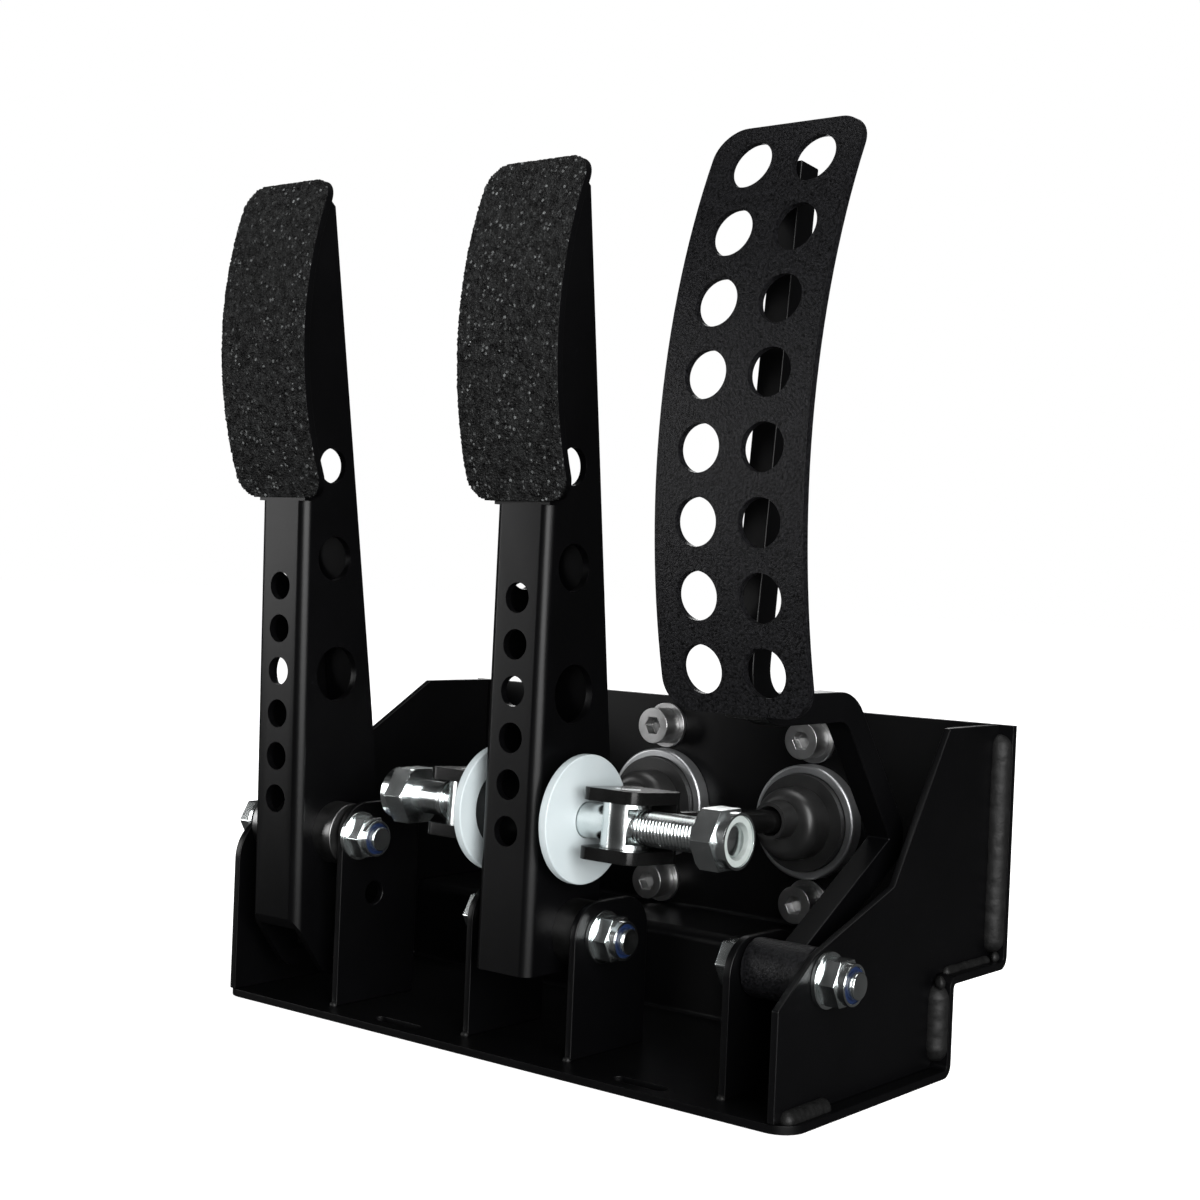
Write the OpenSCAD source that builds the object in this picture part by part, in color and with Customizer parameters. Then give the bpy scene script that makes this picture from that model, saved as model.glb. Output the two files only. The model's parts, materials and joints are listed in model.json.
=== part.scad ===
// Floor-mounted pedal box for a cable clutch, a twin-cylinder brake and a cable throttle.
// X runs to the driver's right, Y away from the driver, Z up. The origin lies midway between
// the two floor bolts, on the underside of the floor and on the brake pedal's centre plane.

/* [Folded base sheet] */
// Thickness of the folded sheet and of every plate and bracket
sheet_t = 2.5; // [2:0.5:3.5]
// Width of the floor and of the bulkhead wall
floor_w = 235; // [225:1:260]
// Brake centre plane, measured from the floor's left edge
brake_inset = 126; // [122:1:134]
// Depth of the floor from its front edge to the back of the lower wall
floor_depth = 93; // [88:1:110]
// Height of the step above the ground
step_h = 29; // [24:1:34]
// Distance that the upper wall stands behind the lower wall
step_depth = 36; // [30:1:50]
// Height of the bulkhead wall
wall_h = 108.5; // [104:0.5:130]
// Inside radius of the folds
fold_r = 1.5; // [1:0.5:4]
// Radius of the floor's front corners
floor_corner_r = 8; // [4:1:12]
// Floor bolts, measured from the front edge
bolt_setback = 70; // [60:1:78]
// Distance between the two floor bolts
bolt_spacing = 100; // [94:1:104]
// Diameter of the floor bolt holes
bolt_hole_d = 8.5; // [6.5:0.5:10.5]
// Length of the two front slots in the floor
slot_len = 20; // [14:1:24]
// Width of the front slots
slot_w = 5; // [4:0.5:7]
// Front slots, measured from the front edge
slot_setback = 7.5; // [6:0.5:10]
// Sideways shift of the front slots and of the cylinders from the brake centre plane
pair_shift = 2; // [0:0.5:4]

/* [Plates and brackets] */
// Overhang of the floor outside the left plate
left_overhang = 3.5; // [2:0.5:6]
// Overhang of the floor outside the right plate
right_overhang = 5; // [3:0.5:9]
// Clear width between the left plate and the clutch bracket
clutch_bay = 40; // [38:1:46]
// Clear width between the two brake brackets
brake_bay = 40; // [38:1:46]
// Clear width between the throttle bracket and the right plate
throttle_bay = 21.5; // [18:0.5:24]
// Inner brackets, measured from the floor's front edge
bracket_setback = 11; // [10:0.5:13]
// Depth of an inner bracket along the floor
bracket_depth = 37; // [34:1:44]
// Metal left above a pivot hole in an inner bracket
bracket_crown = 11; // [10:0.5:13]
// Distance that the clutch bracket reaches in front of the others
clutch_bracket_lead = 3; // [0:0.5:4]
// Radius of an inner bracket's top corners
bracket_corner_r = 11; // [8:0.5:12]
// Length of a plate's level top edge in front of the bulkhead wall
plate_ledge = 33.5; // [28:0.5:40]
// Height at which the right plate's edge turns steep
plate_knee_h = 62; // [58:1:70]
// Distance of that knee from the front edge
plate_knee_y = 62; // [58:1:68]

/* [Pivots] */
// Pivots of the brake and the throttle, measured from the floor's front edge
pivot_setback = 24; // [22:0.5:26]
// Height of the brake and throttle pivots
pivot_h = 39.5; // [38:0.5:43]
// Distance that the clutch pivot stands in front of the other two
clutch_pivot_lead = 9; // [7:0.5:10]
// Height of the clutch pivot above the other two
clutch_pivot_rise = 20.5; // [18:0.5:24]
// Diameter of the pivot bolts
pivot_d = 8; // [6:0.5:10]
// Outside diameter of the pedal pivot sleeves
sleeve_d = 21; // [18:0.5:23]
// Outside diameter of the throttle pivot tube
throttle_tube_d = 17.5; // [14:0.5:18]
// Width of a pivot nut across its flats
pivot_nut_af = 13; // [11:0.5:16]
// Diameter of the pivot washers
pivot_washer_d = 16.5; // [14:0.5:18]
// Thickness of the washers
washer_t = 1.6; // [1:0.2:2.4]

/* [Pedal arms] */
// Width of the channel-section arms
arm_w = 22.5; // [20:0.5:26]
// Sheet thickness of the channel-section arms
arm_t = 2.5; // [2:0.5:3]
// Outside radius of the arms' front folds
arm_fold_r = 4; // [3.5:0.5:6]
// Distance of the arms' upper rear corners below the pads' upper edges
arm_tip_drop = 7; // [4:0.5:14]
// Distance of the arms' upper front corners below the pads' upper edges
arm_nose_drop = 1; // [0.5:0.5:3]
// Height at which the brake arm is deepest
brake_arm_waist = 88; // [84:1:98]
// Height at which the clutch arm is deepest
clutch_arm_waist = 100; // [92:1:106]
// Height to which the arms are closed at the rear
arm_back_top = 172; // [165:0.5:173]
// Brake arm's front face, in front of its pivot
brake_web_lead = 22; // [20:0.5:24]
// Clutch arm's front face, in front of its pivot
clutch_web_lead = 17.5; // [16:0.5:19]
// Backward lean of the brake arm's front face, in degrees
brake_lean = 0.75; // [0:0.05:1.2]
// Backward lean of the clutch arm's front face, in degrees
clutch_lean = -1.15; // [-1.6:0.05:0]
// Brake arm's rear edge at its upper end, in front of its pivot
brake_tip_lead = 6.5; // [5:0.5:8]
// Clutch arm's rear edge at its upper end, in front of its pivot
clutch_tip_lead = 11; // [9:0.5:12]
// Growth in depth of the brake arm for each unit of height downwards
brake_taper = 0.12; // [0.1:0.01:0.14]
// Growth in depth of the clutch arm for each unit of height downwards
clutch_taper = 0.155; // [0.13:0.005:0.17]
// Metal below the brake pivot
brake_heel = 12; // [11.5:0.5:14]
// Height of the lower end of the clutch arm's front face
clutch_web_low = 31; // [30:0.5:36]
// Clutch cable eye, measured behind the clutch arm's front face
cable_eye_back = 20; // [18:0.5:22]
// Height of the clutch cable eye
cable_eye_h = 19; // [17:0.5:21]
// Diameter of the clutch cable eye
cable_eye_d = 6.4; // [5:0.2:8]
// Radius of the metal around the cable eye
cable_eye_r = 8.5; // [7.5:0.5:9.5]
// Diameter of the round holes in the front faces
web_hole_d = 9.5; // [7:0.5:11]
// Height of the lowest hole in the front faces
web_hole_low = 71.5; // [68:0.5:74]
// Distance between the holes in the front faces
web_hole_pitch = 14.5; // [13:0.5:16]
// Number of holes in each front face
web_hole_count = 6; // [3:1:6]
// Heights of the holes in the arms' sides
side_hole_z = [114.5, 154, 185.5];
// Diameters of the holes in the arms' sides
side_hole_d = [18.5, 15, 12];

/* [Pads] */
// Width of the brake and clutch pads
pad_w = 40; // [34:1:46]
// Height of the brake and clutch pads
pad_h = 106; // [102:1:110]
// Height of the pads' lower edge
pad_low = 174; // [172:0.5:177]
// Thickness of the pad plates
pad_t = 2.5; // [2:0.5:4]
// Thickness of the grit sheet on the pads
grit_t = 1; // [0.6:0.2:1.6]
// Radius of the pads' curve, seen from the side
pad_r = 132; // [125:1:150]
// Height of the brake pad's foremost line above its lower edge
brake_pad_rise = 48.5; // [46:0.5:52]
// Height of the clutch pad's foremost line above its lower edge
clutch_pad_rise = 54.5; // [52:0.5:57]
// Brake pad's foremost line, in front of the brake pivot
brake_pad_lead = 30; // [29:0.5:31]
// Clutch pad's foremost line, in front of the clutch pivot
clutch_pad_lead = 31; // [30:0.5:32]
// Radius of the pads' corners
pad_corner_r = 8; // [5:0.5:12]

/* [Throttle] */
// Width of the throttle pad
throttle_pad_w = 49; // [46:1:56]
// Distance from the throttle arm's middle to the pad's middle
throttle_pad_shift = 0.75; // [0:0.25:2]
// Height of the throttle pad
throttle_pad_h = 167; // [165:0.5:172]
// Height of the throttle pad's lower edge
throttle_pad_low = 115; // [113:0.5:117]
// Thickness of the throttle pad
throttle_pad_t = 2.5; // [2:0.5:4]
// Radius of the throttle pad's curve, seen from the side
throttle_pad_r = 222; // [210:1:250]
// Height of the throttle pad's foremost line above its lower edge
throttle_pad_rise = 63.5; // [60:0.5:68]
// Throttle pad's foremost line, in front of the throttle pivot
throttle_pad_lead = 39; // [37:0.5:41]
// Radius of the throttle pad's corners
throttle_corner_r = 9; // [6:0.5:12]
// Diameter of the holes in the throttle pad
throttle_hole_d = 13.8; // [11:0.2:15]
// Distance between the two columns of holes
throttle_hole_gap = 21; // [19:0.2:25]
// Distance between the rows of holes
throttle_hole_pitch = 20.4; // [18:0.2:21]
// Number of rows of holes
throttle_rows = 8; // [5:1:8]
// Thickness of the throttle arm, sideways
throttle_arm_t = 8; // [6:0.5:10]
// Depth of the throttle arm's bar
throttle_bar = 9; // [8:0.5:10]
// Elbow of the throttle arm, behind its pivot
elbow_back = 56.5; // [52:0.5:60]
// Elbow of the throttle arm, above its pivot
elbow_rise = 33.5; // [30:0.5:36]
// Shoulder of the throttle arm, behind its pivot
shoulder_back = 26; // [24:0.5:30]
// Centre line radius of the throttle arm's bends
throttle_bend_r = 12; // [10:0.5:14]

/* [Brake balance bar] */
// Height of the balance bar above the brake pivot
bar_rise = 36.5; // [35:0.5:39]
// Balance bar, in front of the brake pivot
bar_lead = 5; // [3:0.5:6]
// Diameter of the balance bar
bar_d = 11; // [10:0.5:12]
// Length of the balance bar to the right of the brake centre plane
bar_right = 74.5; // [72:0.5:75.5]
// Length of the balance bar to the left of the brake centre plane
bar_left = 61.5; // [58:0.5:62.5]
// Depth of the balance bar's ends inside their nuts
bar_recess = 1.5; // [0.5:0.5:2]
// Diameter of the ring on the balance bar's left part
bar_ring_d = 13; // [12.5:0.5:13]
// Length of the balance bar's housing tube
tube_len = 32; // [30:0.5:32]
// Outside diameter of the housing tube
tube_d = 26; // [25:0.5:27]
// Inside diameter of the housing tube
tube_bore = 20; // [19.5:0.5:21]
// Width of the spherical bearing in the housing tube
bearing_w = 9; // [8:0.5:11]
// Diameter of the ball in the spherical bearing
ball_d = 16; // [15:0.5:17]
// Diameter of the nylon discs
disc_d = 40.5; // [38:0.5:42]
// Thickness of the nylon discs
disc_t = 3; // [2:0.5:3]
// Width of a balance bar nut across its flats
bar_nut_af = 18; // [16:0.5:20]
// Diameter of the trunnions
trunnion_d = 15; // [14:0.5:16]
// Width of a trunnion between its flats
trunnion_flat = 9.5; // [8:0.5:12]
// Thickness of the round flanges at a trunnion's ends
trunnion_flange = 1.5; // [1:0.5:2]
// Diameter of a trunnion's end journals
journal_d = 8; // [7:0.5:9]
// Clear height between the arms of a clevis
clevis_gap = 14; // [13.5:0.5:18]
// Thickness of a clevis arm
clevis_t = 4; // [3.5:0.5:5]
// Width of a clevis
clevis_w = 21; // [18:0.5:21]
// Radius of a clevis's corners
clevis_corner_r = 4; // [3:0.5:6]
// Length of a clevis behind its trunnion
clevis_len = 15.5; // [14.5:0.5:20]
// Diameter of the pushrods
pushrod_d = 8; // [7:0.5:9]

/* [Master cylinders] */
// Distance between the two cylinders
cylinder_spacing = 64; // [64:0.5:68]
// Height of the cylinders' axes
cylinder_h = 69; // [66:0.5:72]
// Distance between the two bolts of a cylinder
flange_bolts = 57.15; // [54:0.05:60]
// Outside diameter of a cylinder's body
cylinder_d = 30; // [28:0.5:34]
// Length of a cylinder's body behind its flange
cylinder_len = 96; // [80:1:120]
// Bore of a cylinder
cylinder_bore = 19; // [15.9:0.1:22]
// Thickness of a cylinder's flange
flange_t = 9; // [7:0.5:12]
// Diameter of the boot retaining collar
collar_d = 40; // [37:0.5:42]
// Radial width of the boot retaining collar
collar_lip = 3; // [2:0.5:4]
// Depth of the boot retaining collar
collar_t = 6; // [4:0.5:8]
// Diameter of a boot's domed part
boot_dome_d = 25; // [24:0.5:30]
// Radius of a boot's domed shoulder
boot_dome_r = 4; // [3:0.5:5]
// Length of a boot's neck around its pushrod
boot_neck_len = 8; // [5:0.5:10]
// Wall thickness of a boot
boot_t = 1.3; // [1:0.1:2]
// Reach of a boot in front of its collar
boot_len = 21.5; // [18:0.5:23]
// Diameter of the cylinder bolts
cylinder_bolt_d = 8; // [6:0.5:8]
// Diameter of a cylinder bolt's head
cap_head_d = 13; // [10:0.5:13]
// Diameter of the outlet port's tapped hole
port_d = 8.8; // [8:0.2:10]

/* [Hidden] */
$fn = 96;
// Radial play of a running fit
running = 0.05;
// Gap between welded or seated pieces
seat = 0.05;
// Side play of the pedals between their plates
side_play = 0.4;

front_y = -bolt_setback;
floor_x = -brake_inset;
lower_wall_y = front_y + floor_depth;
upper_wall_y = lower_wall_y + step_depth;
wall_face_y = upper_wall_y - sheet_t;
left_plate_x = floor_x + left_overhang;
clutch_bracket_x = left_plate_x + sheet_t + clutch_bay;
right_plate_x = floor_x + floor_w - right_overhang - sheet_t;
throttle_bracket_x = right_plate_x - throttle_bay - sheet_t;
clutch_x = left_plate_x + sheet_t + clutch_bay / 2;
throttle_x = right_plate_x - throttle_bay / 2;

pivot_y = front_y + pivot_setback;
clutch_pivot_y = pivot_y - clutch_pivot_lead;
clutch_pivot_h = pivot_h + clutch_pivot_rise;
brake_web_y = pivot_y - brake_web_lead;
clutch_web_y = clutch_pivot_y - clutch_web_lead;

function sagitta(r, rise) = r - sqrt(r * r - rise * rise);
brake_pad_y = pivot_y - brake_pad_lead;
clutch_pad_y = clutch_pivot_y - clutch_pad_lead;
brake_rear_y = pivot_y - brake_tip_lead;
clutch_rear_y = clutch_pivot_y - clutch_tip_lead;
brake_pad_z = pad_low + brake_pad_rise;
clutch_pad_z = pad_low + clutch_pad_rise;
pad_mid = pad_low + pad_h / 2;
// The front faces end under the pads' lower edges
web_top = pad_low - seat;
arm_top = pad_low + pad_h - arm_tip_drop;
arm_nose = pad_low + pad_h - arm_nose_drop;

bar_y = pivot_y - bar_lead;
bar_z = pivot_h + bar_rise;
disc_x = tube_len / 2 + seat;
function cylinder_x(side) = pair_shift + side * cylinder_spacing / 2;
// The pushrods drop a little from the balance bar to the cylinders
pushrod_end_y = wall_face_y - collar_t + 10;
pushrod_drop = atan((bar_z - cylinder_h) / (pushrod_end_y - bar_y));
pushrod_len = (pushrod_end_y - bar_y) / cos(pushrod_drop);
// Play of a boot's neck for the pushrod's rise and fall over its stroke
boot_play = 1.1;
boot_front_y = wall_face_y - seat - collar_t - boot_len;
boot_neck_z = bar_z - (boot_front_y + boot_neck_len / 2 - bar_y) * tan(pushrod_drop) + boot_play / 3;
clevis_neck = clevis_t;
bar_nut_t = 11;
pivot_nut_t = 8;
bolt_head_t = 5.3;

throttle_pad_y = pivot_y - throttle_pad_lead;
throttle_pad_z = throttle_pad_low + throttle_pad_rise;
throttle_pad_mid = throttle_pad_low + throttle_pad_h / 2;
bar_top_z = throttle_pad_low + throttle_pad_h - 12;
bar_foot_z = throttle_pad_low + 13;

black = [0.06, 0.06, 0.065];
zinc = [0.75, 0.77, 0.78];
white = [0.93, 0.95, 0.97];
rubber = [0.03, 0.03, 0.03];
blue = [0.15, 0.3, 0.75];
oxide = [0.1, 0.1, 0.11];
alloy = [0.55, 0.56, 0.58];

// Extrudes an outline drawn in Y and Z along X
module along_x(x, length) {
    translate([x, 0, 0])
        rotate([90, 0, 90])
            linear_extrude(length)
                children();
}

// Extrudes an outline drawn in X and Z along Y
module along_y(y, length) {
    translate([0, y + length, 0])
        rotate([90, 0, 0])
            linear_extrude(length)
                children();
}

// A round rod along X
module rod_x(x, y, z, d, length) {
    translate([x, y, z])
        rotate([0, 90, 0])
            cylinder(d = d, h = length);
}

// A round rod along Y
module rod_y(x, y, z, d, length) {
    translate([x, y, z])
        rotate([-90, 0, 0])
            cylinder(d = d, h = length);
}

// A hexagonal rod along X, across its flats
module hex_x(x, y, z, af, length) {
    translate([x, y, z])
        rotate([0, 90, 0])
            rotate([0, 0, 30])
                cylinder(d = af / cos(30), h = length, $fn = 6);
}

module rounded_rect(w, h, r) {
    square([w - 2 * r, h], center = true);
    square([w, h - 2 * r], center = true);
    for (sx = [-1, 1], sz = [-1, 1])
        translate([sx * (w / 2 - r), sz * (h / 2 - r)])
            circle(r);
}

// Quarter of a folded sheet's bend, with its centre at the origin
module bend(turn) {
    rotate(turn)
        intersection() {
            difference() {
                circle(fold_r + sheet_t);
                circle(fold_r);
            }
            square(fold_r + sheet_t);
        }
}

// Side outline of the base: floor, lower wall, step and bulkhead wall in one folded strip
module base_outline() {
    reach = fold_r + sheet_t;
    translate([front_y, 0])
        square([floor_depth - reach, sheet_t]);
    translate([lower_wall_y - reach, reach])
        bend(-90);
    translate([lower_wall_y - sheet_t, reach])
        square([sheet_t, step_h - reach - fold_r]);
    translate([lower_wall_y + fold_r, step_h - fold_r])
        bend(90);
    translate([lower_wall_y + fold_r, step_h])
        square([step_depth - fold_r - reach, sheet_t]);
    translate([upper_wall_y - reach, step_h + reach])
        bend(-90);
    translate([wall_face_y, step_h + reach])
        square([sheet_t, wall_h - step_h - reach]);
}

// Trims the floor's two front corners to a radius
module front_corner_trim(x, side) {
    r = floor_corner_r;
    translate([x, front_y, -1])
        linear_extrude(sheet_t + 2)
            difference() {
                translate([side > 0 ? -r : -1, -1])
                    square([r + 1, r + 1]);
                translate([-side * r, r])
                    circle(r);
            }
}

module base_sheet() {
    color(black)
        difference() {
            along_x(floor_x, floor_w)
                base_outline();
            front_corner_trim(floor_x + floor_w, 1);
            front_corner_trim(floor_x, -1);
            for (side = [-1, 1])
                translate([side * bolt_spacing / 2, 0, -1])
                    cylinder(d = bolt_hole_d, h = sheet_t + 2);
            for (side = [-1, 1])
                translate([pair_shift + side * bolt_spacing / 2, front_y + slot_setback, -1])
                    linear_extrude(sheet_t + 2) {
                        square([slot_len - slot_w, slot_w], center = true);
                        for (end = [-1, 1])
                            translate([end * (slot_len - slot_w) / 2, 0])
                                circle(d = slot_w);
                    }
            for (side = [-1, 1]) {
                rod_y(cylinder_x(side), wall_face_y - 1, cylinder_h, cylinder_d + 2, sheet_t + 2);
                for (end = [-1, 1])
                    rod_y(cylinder_x(side), wall_face_y - 1, cylinder_h + end * flange_bolts / 2,
                        cylinder_bolt_d + 2 * running, sheet_t + 2);
            }
        }
}

// The corner of a side plate that clears the folds of the base sheet
module plate_foot_outline() {
    relief = fold_r + sheet_t;
    base_y = lower_wall_y - sheet_t - seat;
    translate([front_y, sheet_t + seat])
        square([base_y - front_y - fold_r, wall_h]);
    translate([front_y, relief])
        square([base_y - front_y, wall_h]);
    translate([front_y, step_h + sheet_t + seat])
        square([wall_face_y - seat - fold_r - front_y, wall_h]);
    translate([front_y, step_h + relief])
        square([wall_face_y - seat - front_y, wall_h]);
}

module right_side_plate() {
    corner_drop = 5.5;
    corner_back = 18;
    ledge_y = wall_face_y - plate_ledge;
    color(black)
        difference() {
            along_x(right_plate_x, sheet_t)
                intersection() {
                    plate_foot_outline();
                    polygon([[front_y, 0], [front_y, pivot_h - corner_drop],
                        [front_y + corner_back, pivot_h + bracket_crown - 3.5],
                        [front_y + plate_knee_y, plate_knee_h], [ledge_y, wall_h],
                        [wall_face_y, wall_h], [wall_face_y, 0]]);
                }
            rod_x(right_plate_x - 1, pivot_y, pivot_h, pivot_d + 2 * running, sheet_t + 2);
        }
}

module left_side_plate() {
    shoulder = 14;
    ledge_y = wall_face_y - plate_ledge;
    top_z = clutch_pivot_h + 2;
    color(black)
        difference() {
            along_x(left_plate_x, sheet_t)
                intersection() {
                    plate_foot_outline();
                    union() {
                        polygon([[front_y, 0], [front_y, top_z - shoulder], [front_y + shoulder, top_z],
                            [ledge_y, wall_h], [wall_face_y, wall_h], [wall_face_y, 0]]);
                        intersection() {
                            translate([front_y + shoulder, top_z - shoulder])
                                circle(shoulder);
                            translate([front_y, top_z - shoulder])
                                square(shoulder);
                        }
                    }
                }
            rod_x(left_plate_x - 1, clutch_pivot_y, clutch_pivot_h, pivot_d + 2 * running, sheet_t + 2);
        }
}

// An inner bracket with two round top corners, drilled at the given pivots
module bracket(x, top, holes, lead = 0) {
    y = front_y + bracket_setback - lead;
    r = bracket_corner_r;
    foot = sheet_t + seat;
    color(black)
        difference() {
            along_x(x, sheet_t)
                union() {
                    translate([y, foot])
                        square([bracket_depth, top - foot - r]);
                    translate([y + r, foot])
                        square([bracket_depth - 2 * r, top - foot]);
                    for (side = [y + r, y + bracket_depth - r])
                        translate([side, top - r])
                            circle(r);
                }
            for (h = holes)
                rod_x(x - 1, h[0], h[1], pivot_d + 2 * running, sheet_t + 2);
        }
}

// The clutch bracket keeps a second, lower pivot hole
module clutch_bracket() {
    bracket(clutch_bracket_x, clutch_pivot_h + bracket_crown,
        [[clutch_pivot_y, clutch_pivot_h], [pivot_y, pivot_h]], clutch_bracket_lead);
}

module brake_bracket_left() {
    bracket(-brake_bay / 2 - sheet_t, pivot_h + bracket_crown, [[pivot_y, pivot_h]]);
}

module brake_bracket_right() {
    bracket(brake_bay / 2, pivot_h + bracket_crown, [[pivot_y, pivot_h]]);
}

module throttle_bracket() {
    bracket(throttle_bracket_x, pivot_h + bracket_crown - 2, [[pivot_y, pivot_h]]);
}

// Rear and front edges of an arm at a height
function arm_rear(rear_y, taper, z) = rear_y + taper * (arm_top - z);
function arm_front(web_y, lean, pz, z) = web_y + tan(lean) * (z - pz);

// Points of an arc about a centre, and of the curve on which a pad is welded
function turned(y, z, r, a) = [y + r * cos(a), z + r * sin(a)];
function arc(y, z, r, from, to, steps) =
    [for (i = [0 : steps]) turned(y, z, r, from + (to - from) * i / steps)];
function pad_seat(pad_y, pad_z) = let (r = pad_r - pad_t - seat)
    arc(pad_y + pad_r, pad_z, r,
        180 - asin((web_top - pad_z) / r), 180 - asin((arm_nose - pad_z) / r), 20);

// One corner of the channel's front, to be cut round
module fold_trim(side) {
    r = arm_fold_r;
    mirror([side < 0 ? 1 : 0, 0, 0])
        translate([arm_w / 2 - r, r])
            difference() {
                translate([0, -r - 2])
                    square([r + 2, r + 2]);
                circle(1.01 * r);
            }
}

// A folded channel that opens to the rear; above, only its two cheeks run on behind the pad
module channel_arm(x, web_y, lean, pz, outline) {
    inner = arm_w - 2 * arm_t;
    low = -20;
    high = arm_top + 20;
    translate([x, 0, 0])
        difference() {
            along_x(-arm_w / 2, arm_w)
                polygon(outline);
            along_x(-inner / 2, inner)
                polygon([[arm_front(web_y, lean, pz, low) + arm_t, low],
                    [arm_front(web_y, lean, pz, web_top) + arm_t, web_top],
                    [web_y - 60, web_top], [web_y - 60, high], [web_y + 90, high], [web_y + 90, low]]);
            for (side = [-1, 1])
                translate([0, web_y, pz])
                    rotate([-lean, 0, 0])
                        translate([0, 0, low - pz])
                            linear_extrude(web_top - low - 1)
                                fold_trim(side);
        }
}

// The holes in an arm's front face and sides, and its sleeve hole
module arm_holes(x, web_y, rear_y, taper, py, pz) {
    for (i = [0 : web_hole_count - 1])
        rod_y(x, web_y - 4, web_hole_low + i * web_hole_pitch, web_hole_d, arm_t + 8);
    for (i = [0 : len(side_hole_z) - 1]) {
        z = side_hole_z[i];
        rod_x(x - arm_w / 2 - 1, (web_y + arm_rear(rear_y, taper, z)) / 2, z, side_hole_d[i], arm_w + 2);
    }
    rod_x(x - arm_w / 2 - 1, py, pz, sleeve_d + 2 * seat, arm_w + 2);
}

module clutch_arm() {
    eye_y = clutch_web_y + cable_eye_back;
    widest = clutch_arm_waist;
    outline = concat(
        [[arm_front(clutch_web_y, clutch_lean, clutch_pivot_h, clutch_web_low), clutch_web_low]],
        [[arm_front(clutch_web_y, clutch_lean, clutch_pivot_h, web_top), web_top]],
        pad_seat(clutch_pad_y, clutch_pad_z),
        [[clutch_rear_y, arm_top], [arm_rear(clutch_rear_y, clutch_taper, widest), widest],
            [clutch_pivot_y + sleeve_d, clutch_pivot_h]],
        arc(eye_y, cable_eye_h, cable_eye_r, 10, -145, 16));
    color(black)
        difference() {
            channel_arm(clutch_x, clutch_web_y, clutch_lean, clutch_pivot_h, outline);
            arm_holes(clutch_x, clutch_web_y, clutch_rear_y, clutch_taper, clutch_pivot_y, clutch_pivot_h);
            rod_x(clutch_x - arm_w / 2 - 1, eye_y, cable_eye_h, cable_eye_d, arm_w + 2);
        }
}

// Strip welded between an arm's sides along their rear edges
module arm_back(x, rear_y, taper, low) {
    inner = arm_w - 2 * arm_t - 2 * seat;
    low_y = arm_rear(rear_y, taper, low);
    top_y = arm_rear(rear_y, taper, arm_back_top);
    color(black)
        along_x(x - inner / 2, inner)
            polygon([[low_y - arm_t, low], [low_y, low],
                [top_y, arm_back_top], [top_y - arm_t, arm_back_top]]);
}

module clutch_arm_back() {
    arm_back(clutch_x, clutch_rear_y, clutch_taper, clutch_arm_waist);
}

module brake_arm() {
    widest = brake_arm_waist;
    low = pivot_h - brake_heel;
    outline = concat(
        [[arm_front(brake_web_y, brake_lean, pivot_h, low), low]],
        [[arm_front(brake_web_y, brake_lean, pivot_h, web_top), web_top]],
        pad_seat(brake_pad_y, brake_pad_z),
        [[brake_rear_y, arm_top], [arm_rear(brake_rear_y, brake_taper, widest), widest]],
        arc(pivot_y, pivot_h, brake_heel, 15, -90, 12));
    color(black)
        difference() {
            channel_arm(0, brake_web_y, brake_lean, pivot_h, outline);
            arm_holes(0, brake_web_y, brake_rear_y, brake_taper, pivot_y, pivot_h);
            rod_x(-arm_w / 2 - 1, bar_y, bar_z, tube_d + 2 * seat, arm_w + 2);
        }
}

module brake_arm_back() {
    arm_back(0, brake_rear_y, brake_taper, brake_arm_waist);
}

// A plate curved about X and cut to a rounded front outline
module curved_plate(x, w, low, h, y, z, r, t, corner) {
    intersection() {
        along_x(x - w / 2, w)
            translate([y + r, z])
                difference() {
                    circle(r);
                    circle(r - t);
                }
        along_y(y - 1, r / 2)
            translate([x, low + h / 2])
                rounded_rect(w, h, corner);
    }
}

module clutch_pad() {
    color(black)
        curved_plate(clutch_x, pad_w, pad_low, pad_h, clutch_pad_y, clutch_pad_z, pad_r, pad_t, pad_corner_r);
}

module brake_pad() {
    color(black)
        curved_plate(0, pad_w, pad_low, pad_h, brake_pad_y, brake_pad_z, pad_r, pad_t, pad_corner_r);
}

// The grit sheets lie on the front of the pads
module clutch_grip() {
    lift = grit_t + seat;
    color([0.1, 0.1, 0.1])
        curved_plate(clutch_x, pad_w, pad_low, pad_h, clutch_pad_y - lift, clutch_pad_z, pad_r + lift,
            grit_t, pad_corner_r);
}

module brake_grip() {
    lift = grit_t + seat;
    color([0.1, 0.1, 0.1])
        curved_plate(0, pad_w, pad_low, pad_h, brake_pad_y - lift, brake_pad_z, pad_r + lift,
            grit_t, pad_corner_r);
}

// A pivot sleeve fills its bay apart from the side play
module pivot_sleeve(x, bay, y, z, d) {
    length = bay - 2 * side_play;
    difference() {
        rod_x(x - length / 2, y, z, d, length);
        rod_x(x - length / 2 - 1, y, z, pivot_d + 2 * running, length + 2);
    }
}

module clutch_pivot_sleeve() {
    color(black)
        pivot_sleeve(clutch_x, clutch_bay, clutch_pivot_y, clutch_pivot_h, sleeve_d);
}

module brake_pivot_sleeve() {
    color(black)
        pivot_sleeve(0, brake_bay, pivot_y, pivot_h, sleeve_d);
}

module throttle_pivot_tube() {
    color(black)
        pivot_sleeve(throttle_x, throttle_bay, pivot_y, pivot_h, throttle_tube_d);
}

// Each pivot bolt: left face of its left plate, right face of its right plate, place
clutch_pivot = [left_plate_x, clutch_bracket_x + sheet_t, clutch_pivot_y, clutch_pivot_h];
brake_pivot = [-brake_bay / 2 - sheet_t, brake_bay / 2 + sheet_t, pivot_y, pivot_h];
throttle_pivot = [throttle_bracket_x, right_plate_x + sheet_t, pivot_y, pivot_h];
pivots = [clutch_pivot, brake_pivot, throttle_pivot];

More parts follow.
